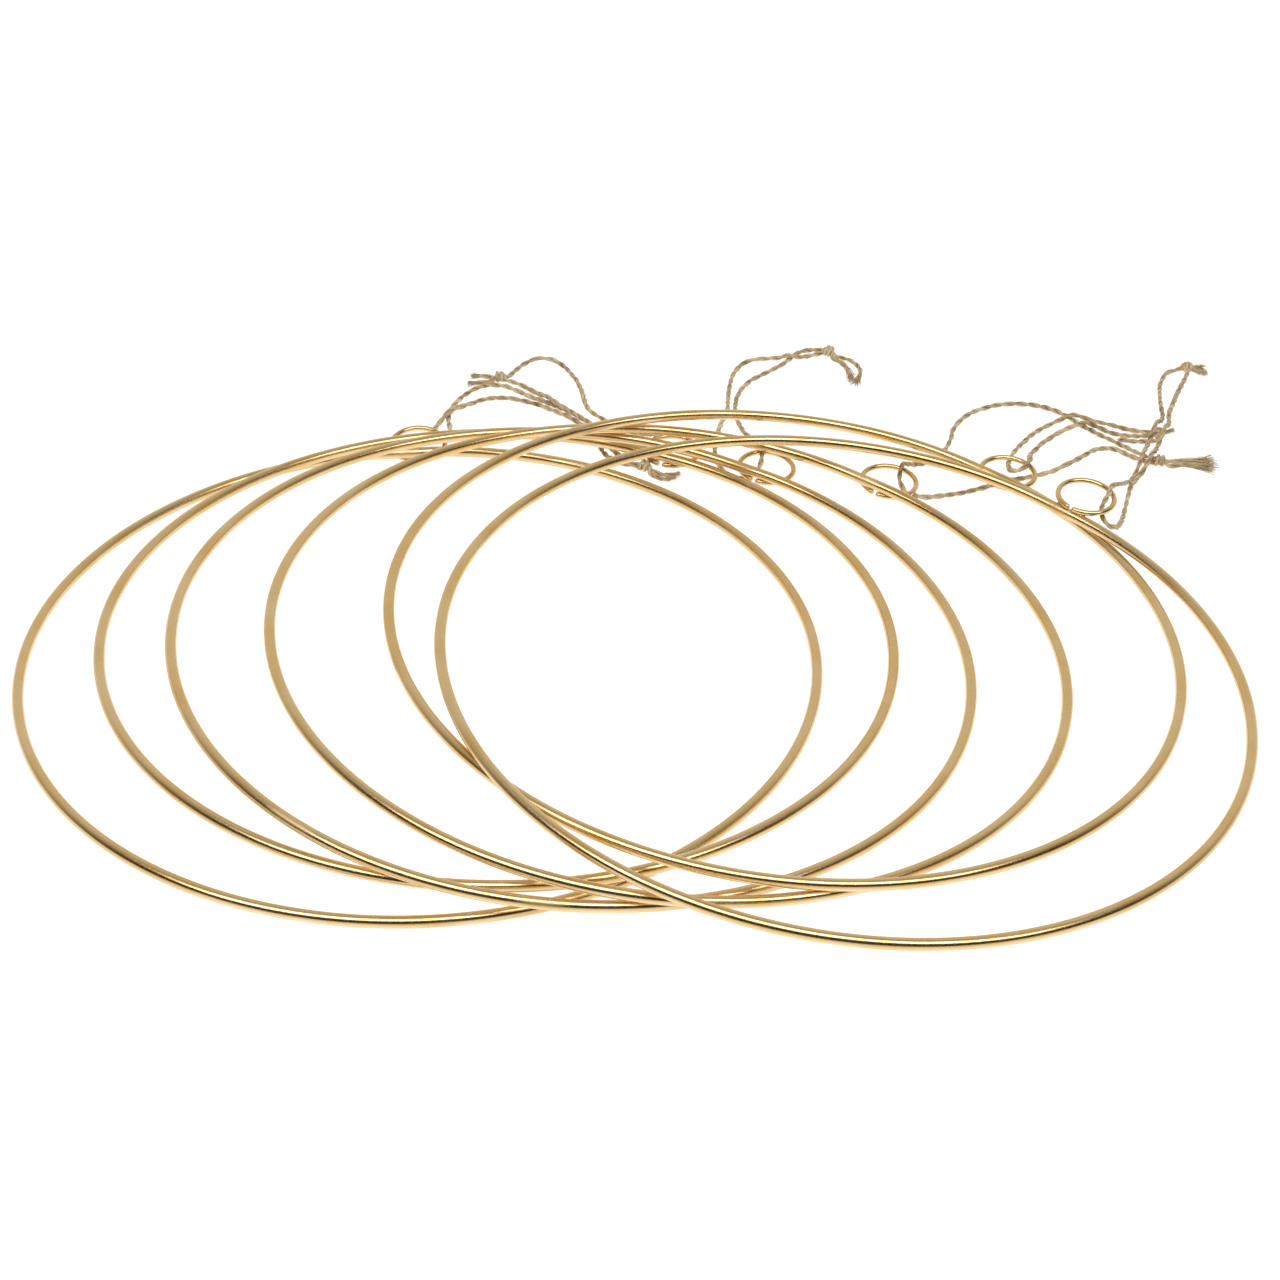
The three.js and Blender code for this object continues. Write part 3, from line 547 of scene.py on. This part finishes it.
# %% Make the six twines
TABLE_GAP = 0.05 * MM
for number, line in centrelines.items():
    strands = Strands()
    lay_plies(strands, line, seed=100 * number)
    add_hairs(strands, line, int(length_of(line) / MM * HAIRS_PER_MM), seed=100 * number + 7)
    twine = strands.build(f"jute_loop_{number}", jute, floor=TABLE_GAP)
    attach(twine, f"frame_{number}")
    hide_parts(f"twine_{number}")
    print(twine.name, len(twine.data.vertices), "points")

# %% [markdown]
# ## Knots
# The two ends of each loop are tied together in one overhand knot: both strands run through the middle, turn
# back round the outside and leave as two short tails. The wraps are pulled tight, so they press into each
# other. At the cut ends the plies open into a brush of single fibres.

# %% Tie one knot
KNOT_HEIGHT = 2.9 * MM
WRAP_RADIUS = 2.15 * MM
WRAP_SQUASH = 0.78


def knot_strand(entry, middle, axis, tail, which):
    """One strand's way through the knot: in, along the core, once round the outside and out to its tail."""
    left = np.array((-axis[1], axis[0], 0))
    up = np.array((0, 0, 1.0))
    sign = 1 if which == 0 else -1

    def here(ahead, aside, above):
        return middle + (ahead * axis + aside * left + above * up) * MM

    points = [entry, here(-1.9, 0.7 * sign, 0.2), here(0.4, 0.55 * sign, 0.3 * sign)]
    shift = 1.1 * sign
    for turn in np.linspace(0.3, 1.15, 9):
        angle = 2 * math.pi * turn * sign + (0 if which == 0 else math.pi)
        points.append(here(shift + 0.5 * (0.7 - turn), WRAP_RADIUS / MM * math.cos(angle),
                           WRAP_RADIUS / MM * WRAP_SQUASH * math.sin(angle)))
    points.append(here(0.9, -0.35 * sign, -0.5 * sign))
    points.append(here(2.6, -0.5 * sign, -0.5))
    points += [np.array((x, y, TWINE_REST_HEIGHT)) for x, y in tail]
    return points


# for each knot: how much of a tail comes apart, how wide it opens (both mm), and its number of fibres
FRAY = {
    1: (3, 1.0, 24),
    2: (4, 1.5, 60),
    3: (11, 1.7, 80),
    4: (13, 2.2, 110),
    5: (5, 1.5, 44),
    6: (6, 1.8, 60),
}
FIBRE_RADIUS = 0.17 * MM


def fray(strands, run, apart, opening, fibres, seed):
    """Fibres that follow the last part of a tail, opening out like a brush and ending unevenly."""
    rng = np.random.default_rng(seed)
    tangents, u, v = across(run)
    last = len(run) - 1
    for _ in range(fibres):
        away = rng.normal(0, 0.5, 2)
        first = max(4, last - int(rng.uniform(0.5, 1.2) * apart * MM / FINE_STEP))
        picked = np.linspace(first, last, 6).astype(int)
        past_the_end = rng.uniform(0.1, 0.28) * apart * MM
        beyond = np.linspace(0.3, 1, 2)[:, None] * past_the_end * tangents[last]
        bend = rng.normal(0, 0.12, 3) * apart * MM
        spread = np.linspace(0.7, opening, 8)[:, None] * MM
        fibre = np.vstack([run[picked], run[last] + beyond])
        fibre = fibre + spread * (away[0] * u[last] + 0.8 * away[1] * v[last])
        fibre = fibre + bend * np.linspace(0, 1, 8)[:, None] ** 2
        strands.tube(fibre, FIBRE_RADIUS * np.linspace(1, 0.6, 8), 4, start=rng.uniform(0, 9))


print("fibres per tail:", {number: fibres for number, (_, _, fibres) in FRAY.items()})

# %% [markdown]
# ## The six knots
# A knot faces the way that its tails leave, halfway between the pull of the loop and the lie of the tails.
# An egg-shaped core fills the space between the wraps, which would otherwise show daylight. Each knot hangs
# on the same frame as its loop.

KNOT_CORE_RADIUS = 1.9 * MM
KNOT_CORE_REACH = 2.3  # mm to either side of the middle

for number, loop in LOOPS.items():
    strands = Strands()
    line = centrelines[number]
    middle = np.array((*loop["knot"], KNOT_HEIGHT))
    way_out = np.mean([np.array(tail[-1]) for tail in loop["tails"]], axis=0) - middle[:2]
    way_in = middle[:2] - (line[16][:2] + line[-17][:2]) / 2
    axis = way_out / np.linalg.norm(way_out) + way_in / np.linalg.norm(way_in)
    axis = np.array((*(axis / np.linalg.norm(axis)), 0))
    for which, (end, tail) in enumerate(zip((line[2], line[-3]), loop["tails"])):
        seed = 1000 * number + 50 * which
        run = evenly(curve_through(knot_strand(end, middle, axis, tail, which)), FINE_STEP)
        apart, opening, fibres = FRAY[number]
        left = length_of(run) - np.arange(len(run)) * FINE_STEP
        loosen = np.clip(left / (apart * MM), 0.45, 1)
        lay_plies(strands, run, seed, thin=loosen)
        add_hairs(strands, run[20:], int(length_of(run) / MM), seed + 5, lift=0.8)
        fray(strands, run, apart, opening, fibres, seed + 9)
    core = middle + np.linspace(-KNOT_CORE_REACH, KNOT_CORE_REACH, 12)[:, None] * axis * MM
    strands.tube(core, KNOT_CORE_RADIUS * np.sqrt(1 - np.linspace(-0.93, 0.93, 12) ** 2), 12)
    knot = strands.build(f"jute_knot_{number}", jute_ends, floor=TABLE_GAP)
    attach(knot, f"frame_{number}")
    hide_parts(f"knot_{number}")
    print(knot.name, len(knot.data.vertices), "points")

# %% [markdown]
# ## Champagne-gold plating
# The hoops are mild steel wire with a thin brassy plating, tumbled to a satin finish. Plating is metal right
# through, so the shader is fully metallic and its colour is the colour of its reflections. Tumbling leaves a
# grain that blurs reflections. The real grain is finer than a tenth of a millimetre, and here it is drawn
# half a millimetre across so that it shows. Drawing and bending the wire leaves slow ripples, about 7 mm
# long. Near the butt weld the bar has been ground by hand, which leaves it duller.

# %% Metal materials
TINT_SIZE = 26 * MM
GRAIN_SIZE = 0.5 * MM
RIPPLE_SIZE = 7 * MM


def plated_metal(name, base, warm, cool, roughness, grain_depth):
    material, tree = new_material(name)
    place = add(tree, "TexCoord").outputs["Object"]
    tint = add(tree, "TexNoise", {"Vector": place, "Scale": 1 / TINT_SIZE, "Detail": 3}).outputs["Fac"]
    colour = add(tree, "ValToRGB", {"Fac": tint},
                 stops=[(0.32, warm), (0.52, base), (0.72, cool)]).outputs["Color"]
    grain = add(tree, "TexNoise", {"Vector": place, "Scale": 1 / GRAIN_SIZE, "Detail": 2,
                                   "Roughness": 0.6}).outputs["Fac"]
    ripple = add(tree, "TexNoise", {"Vector": place, "Scale": 1 / RIPPLE_SIZE, "Detail": 1}).outputs["Fac"]
    ground = add(tree, "Attribute", attribute_name="ground").outputs["Fac"]
    rough = add(tree, "MapRange", {"Value": grain, "From Min": 0.3, "From Max": 0.7,
                                   "To Min": roughness - 0.06, "To Max": roughness + 0.06}).outputs[0]
    rough = add(tree, "Math", {0: ground, 1: 0.22, 2: rough}, operation="MULTIPLY_ADD").outputs[0]
    height = add(tree, "Math", {0: ripple, 1: 1.5, 2: grain}, operation="MULTIPLY_ADD").outputs[0]
    extra = add(tree, "Math", {0: ground, 1: grain}, operation="MULTIPLY").outputs[0]
    height = add(tree, "Math", {0: extra, 1: 2.5, 2: height}, operation="MULTIPLY_ADD").outputs[0]
    bump = add(tree, "Bump", {"Height": height, "Strength": 0.3, "Distance": grain_depth * MM})
    shader = add(tree, "BsdfPrincipled", {"Base Color": colour, "Metallic": 1.0, "Roughness": rough,
                                          "Normal": bump.outputs["Normal"]})
    add(tree, "OutputMaterial", {"Surface": shader.outputs["BSDF"]})
    return material


champagne_gold = plated_metal("champagne_gold_plating", base="#E1C38F", warm="#DDBA7F", cool="#E4C99E",
                              roughness=0.22, grain_depth=0.022)
weld_flash = plated_metal("plated_weld_flash", base="#CFAC70", warm="#B99355", cool="#DEC38F",
                          roughness=0.42, grain_depth=0.12)
print("metals ready")

# %% [markdown]
# ## Hoops
# A hoop is one bar bent round and butt-welded to itself under the eyelet. The ring is swept exactly round
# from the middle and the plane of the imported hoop. A little extra metal stands where the ends meet, and the
# bar is filed flatter in a few places round the hoop.

# %% Find a ring's middle and plane
BAR_RADIUS = 2.5 * MM
WIRE_RADIUS = 1.3 * MM
HOOP_RADIUS = 172.5 * MM
EYELET_RADIUS = 13.25 * MM


def ring_plane(node):
    """The middle of a round ring and the unit normal of its plane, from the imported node's points."""
    points = np.array([v.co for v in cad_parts[node].data.vertices], float)
    mean = points.mean(axis=0)
    normal = np.linalg.svd(points - mean, full_matrices=False)[2][2]
    normal *= np.sign(normal[2])
    side = np.cross(normal, (0, 1, 0))
    side /= np.linalg.norm(side)
    other = np.cross(normal, side)
    flat = np.stack([(points - mean) @ side, (points - mean) @ other], axis=1)
    fit = np.linalg.lstsq(np.c_[2 * flat, np.ones(len(flat))], (flat**2).sum(axis=1), rcond=None)[0]
    return mean + fit[0] * side + fit[1] * other, normal


def ring_mesh(name, middle, first, normal, radius, wire, turns, sides,
              opening=0.0, shape=None, bend=0.0):
    """A round wire bent into a ring that starts at direction first. With an opening it has two ends."""
    second = np.cross(normal, first)
    closed = opening == 0
    around = np.linspace(opening / 2, 2 * math.pi - opening / 2, turns, endpoint=not closed)
    section = np.arange(sides) * 2 * math.pi / sides
    reach = np.full((turns, sides), wire)
    ground = np.zeros((turns, sides))
    if shape:
        reach, ground = shape(around, section, reach, ground)
    out = np.cos(around)[:, None] * first + np.sin(around)[:, None] * second
    radius = radius + bend * np.ones(turns)
    rings = (middle + out[:, None] * (radius[:, None] + reach * np.cos(section))[..., None]
             + normal * (reach * np.sin(section))[..., None])
    points = rings.reshape(-1, 3)
    faces = []
    for i in range(turns if closed else turns - 1):
        row, after = i * sides, ((i + 1) % turns) * sides
        faces += [(row + j, after + j, after + (j + 1) % sides, row + (j + 1) % sides)
                  for j in range(sides)]
    if not closed:
        faces.append(tuple(range(sides)))
        faces.append(tuple((turns - 1) * sides + j for j in reversed(range(sides))))
    mesh = bpy.data.meshes.new(name)
    mesh.from_pydata(points.tolist(), [], faces)
    mesh.polygons.foreach_set("use_smooth", [len(f) == 4 for f in faces])
    dull = mesh.attributes.new("ground", "FLOAT", "POINT")
    dull.data.foreach_set("value", ground.astype(np.float32).ravel())
    piece = bpy.data.objects.new(name, mesh)
    bpy.context.scene.collection.objects.link(piece)
    return piece


print("the middle of the bottom hoop is at", np.round(ring_plane("hoop_1")[0], 4))

# %% [markdown]
# ## The six hoops
# The ends of the bar are pressed together hot. That leaves a low collar and draws the bar a little inwards
# for a few centimetres, so a real hoop isn't quite round there. Each hoop starts at its eyelet, and three
# patches in seeded places are filed a little flat.

# %% Bend the six hoops
SEAM_SHIFT = math.radians(2.0)
SEAM_KINK = 1.9 * MM  # how far the bar dips towards the middle at the butt weld
KINK_REACH = 26 * MM
COLLAR_HEIGHT = 0.16 * MM
COLLAR_LENGTH = 1.1  # mm to either side of the seam
FILE_DEPTH = 0.05 * MM

around_hoop = np.arange(720) * 2 * math.pi / 720
from_seam = np.abs((around_hoop - SEAM_SHIFT + math.pi) % (2 * math.pi) - math.pi) * HOOP_RADIUS
kink = SEAM_KINK * (0.15 - np.exp(-np.sqrt(from_seam**2 + (4 * MM) ** 2) / KINK_REACH))
hoops = {}
for number in range(1, COUNT + 1):
    middle, normal = ring_plane(f"hoop_{number}")
    eyelet_middle, _ = ring_plane(f"eyelet_{number}")
    towards = eyelet_middle - middle
    towards -= normal * (towards @ normal)
    towards /= np.linalg.norm(towards)
    hoops[number] = (middle, normal, towards)
    rng = np.random.default_rng(number)
    patches = [(rng.uniform(0.12, 6.1), rng.uniform(0, 2 * math.pi), rng.uniform(5, 14)) for _ in range(3)]

    def butt_weld(around, section, reach, ground):
        """A low collar where the ends meet, and a few patches ground flat with a file."""
        seam = np.abs((around - SEAM_SHIFT) * HOOP_RADIUS / MM)[:, None]
        collar = np.exp(-((seam / COLLAR_LENGTH) ** 2)) * (0.7 + 0.3 * np.cos(3 * section))
        reach = reach + COLLAR_HEIGHT * collar
        ground = ground + np.exp(-((seam / 7) ** 2))
        for place, angle, long in patches:
            away = np.abs((around - place) * HOOP_RADIUS / MM)[:, None]
            facing = np.maximum(0, np.cos(section - angle)) ** 4
            worn = np.exp(-((away / long) ** 4)) * facing
            reach = reach - FILE_DEPTH * worn
            ground = ground + worn
        return reach, np.clip(ground, 0, 1)

    hoop = ring_mesh(f"round_hoop_{number}", middle, towards, normal, HOOP_RADIUS, BAR_RADIUS, 720, 28,
                     shape=butt_weld, bend=kink)
    hoop.data.materials.append(champagne_gold)
    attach(hoop, f"frame_{number}")
    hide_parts(f"hoop_{number}")
    print(hoop.name, "centre", np.round(middle, 4))

# %% [markdown]
# ## Eyelets and their welds
# An eyelet is a turn of thinner wire whose ends don't quite meet. It lies across the bar with its opening
# over the middle, and two dabs of resistance weld hold it where wire and bar cross.

# %% Bend the six eyelets and add the weld flash
EYELET_OPENING = 2.0 * MM
WELD_SPACING = 5.2 * MM  # from the middle of the eyelet, along the bar
WELD_HEIGHT = 2.6 * MM  # from the middle of the bar, towards the eyelet's side
WELD_SIZE = (2.3 * MM, 1.9 * MM, 0.95 * MM)


def weld_lump(name, middle, long, wide, high, size, seed):
    """A rough lump of squeezed-out metal: a fine sphere, stretched and then pushed in and out."""
    rng = np.random.default_rng(seed)
    mesh = bpy.data.meshes.new(name)
    shape = bmesh.new()
    bmesh.ops.create_icosphere(shape, subdivisions=4, radius=1)
    bumps = rng.normal(0, 1, (14, 3))
    bumps /= np.linalg.norm(bumps, axis=1)[:, None]
    depths = rng.uniform(-0.10, 0.22, 14)
    for vertex in shape.verts:
        p = np.array(vertex.co)
        swell = 1 + (depths * np.exp(-9 * (1 - bumps @ p))).sum()
        p = p * swell * np.array(size)
        vertex.co = middle + p[0] * long + p[1] * wide + p[2] * high
    shape.to_mesh(mesh)
    shape.free()
    mesh.polygons.foreach_set("use_smooth", [True] * len(mesh.polygons))
    mesh.attributes.new("ground", "FLOAT", "POINT")
    mesh.materials.append(weld_flash)
    piece = bpy.data.objects.new(name, mesh)
    bpy.context.scene.collection.objects.link(piece)
    return piece


for number in range(1, COUNT + 1):
    middle, normal, towards = hoops[number]
    eyelet_middle, eyelet_normal = ring_plane(f"eyelet_{number}")
    inward = -towards - eyelet_normal * (-towards @ eyelet_normal)
    inward /= np.linalg.norm(inward)

    def cut_ends(around, section, reach, ground):
        """Nippers pinch the wire at both cut ends."""
        left = np.minimum(around - around[0], around[-1] - around)[:, None] * EYELET_RADIUS / MM
        return reach * (1 - 0.22 * np.exp(-((left / 0.5) ** 2))), ground + np.exp(-((left / 3) ** 2))

    eyelet = ring_mesh(f"round_eyelet_{number}", eyelet_middle, inward, eyelet_normal, EYELET_RADIUS,
                       WIRE_RADIUS, 180, 20, opening=EYELET_OPENING / EYELET_RADIUS, shape=cut_ends)
    eyelet.data.materials.append(champagne_gold)
    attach(eyelet, f"frame_{number}")
    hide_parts(f"eyelet_{number}")

    tangent = np.cross(normal, towards)
    side = 1 if (eyelet_middle - middle) @ normal > 0 else -1
    for end, way in (("left", 1), ("right", -1)):
        offset = towards * HOOP_RADIUS + tangent * way * WELD_SPACING + normal * side * WELD_HEIGHT
        lump = weld_lump(f"weld_flash_{number}_{end}", middle + offset, tangent, towards, normal,
                         WELD_SIZE, seed=10 * number + way)
        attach(lump, f"frame_{number}")
        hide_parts(f"weld_{number}_{end}")
    print(eyelet.name, "on", "top" if side > 0 else "the underside")

# %% [markdown]
# ## Floor and light
# The floor is plain and pale, and bright enough to light the undersides of the bars. Its clear coat mirrors
# the room where it is seen along the surface, as an acrylic table does. It is made large, so that its edge
# stays far away when the pile is seen from low down.

# %% Floor
FLOOR_SIZE = 30.0
floor_material, tree = new_material("pale_table")
table = add(tree, "BsdfPrincipled", {"Base Color": linear("#A0A09E"), "Roughness": 0.7,
                                     "Specular IOR Level": 0.2, "Coat Weight": 1.0, "Coat IOR": 1.85,
                                     "Coat Roughness": 0.25, "Emission Color": linear("#FFFFFF"),
                                     "Emission Strength": 0.93})
add(tree, "OutputMaterial", {"Surface": table.outputs["BSDF"]})
half = FLOOR_SIZE / 2
floor_mesh = bpy.data.meshes.new("floor")
floor_mesh.from_pydata([(-half, -half, 0), (half, -half, 0), (half, half, 0), (-half, half, 0)], [],
                       [(0, 1, 2, 3)])
floor_mesh.materials.append(floor_material)
floor = bpy.data.objects.new("floor", floor_mesh)
bpy.context.scene.collection.objects.link(floor)

# %% [markdown]
# ## Room light
# Round metal looks round by the lines it mirrors. One long soft box overhead gives each bar its bright line,
# and the room in front is dark, which gives the dark line below it. The wall behind is pale, and the bars
# that run away from the viewer mirror it from end to end.

# %% Room light
world = bpy.data.worlds.new("studio")
bpy.context.scene.world = world
world.use_nodes = True
room = world.node_tree
room.nodes.clear()
towards_room = add(room, "SeparateXYZ", {0: add(room, "TexCoord").outputs["Generated"]}).outputs
behind = add(room, "MapRange", {"Value": towards_room["Y"], "From Min": -0.3, "From Max": 0.7},
             interpolation_type="SMOOTHSTEP").outputs[0]
overhead = add(room, "MapRange", {"Value": towards_room["Z"], "From Min": 0.65, "From Max": 0.92},
               interpolation_type="SMOOTHSTEP").outputs[0]
walls = add(room, "Mix", {"Factor": behind, "A": linear("#33290F"), "B": linear("#E2DED4")}, data_type="RGBA")
walls_and_ceiling = add(room, "Mix", {"Factor": overhead, "A": walls.outputs["Result"],
                                      "B": linear("#B4B0A6")}, data_type="RGBA")
background = add(room, "Background", {"Color": walls_and_ceiling.outputs["Result"], "Strength": 1.0})
add(room, "OutputWorld", {"Surface": background.outputs[0]})


def soft_box(name, place, size, watts):
    lamp = bpy.data.lights.new(name, "AREA")
    lamp.shape = "RECTANGLE"
    lamp.size, lamp.size_y = size
    lamp.energy = watts
    box = bpy.data.objects.new(name, lamp)
    box.location = place
    box.rotation_euler = Vector(place).to_track_quat("Z", "Y").to_euler()
    bpy.context.scene.collection.objects.link(box)


soft_box("long_soft_box", (0, -1.05, 2.42), (5.2, 1.35), 70)
bpy.context.scene.view_settings.view_transform = "Standard"
print("lights ready")
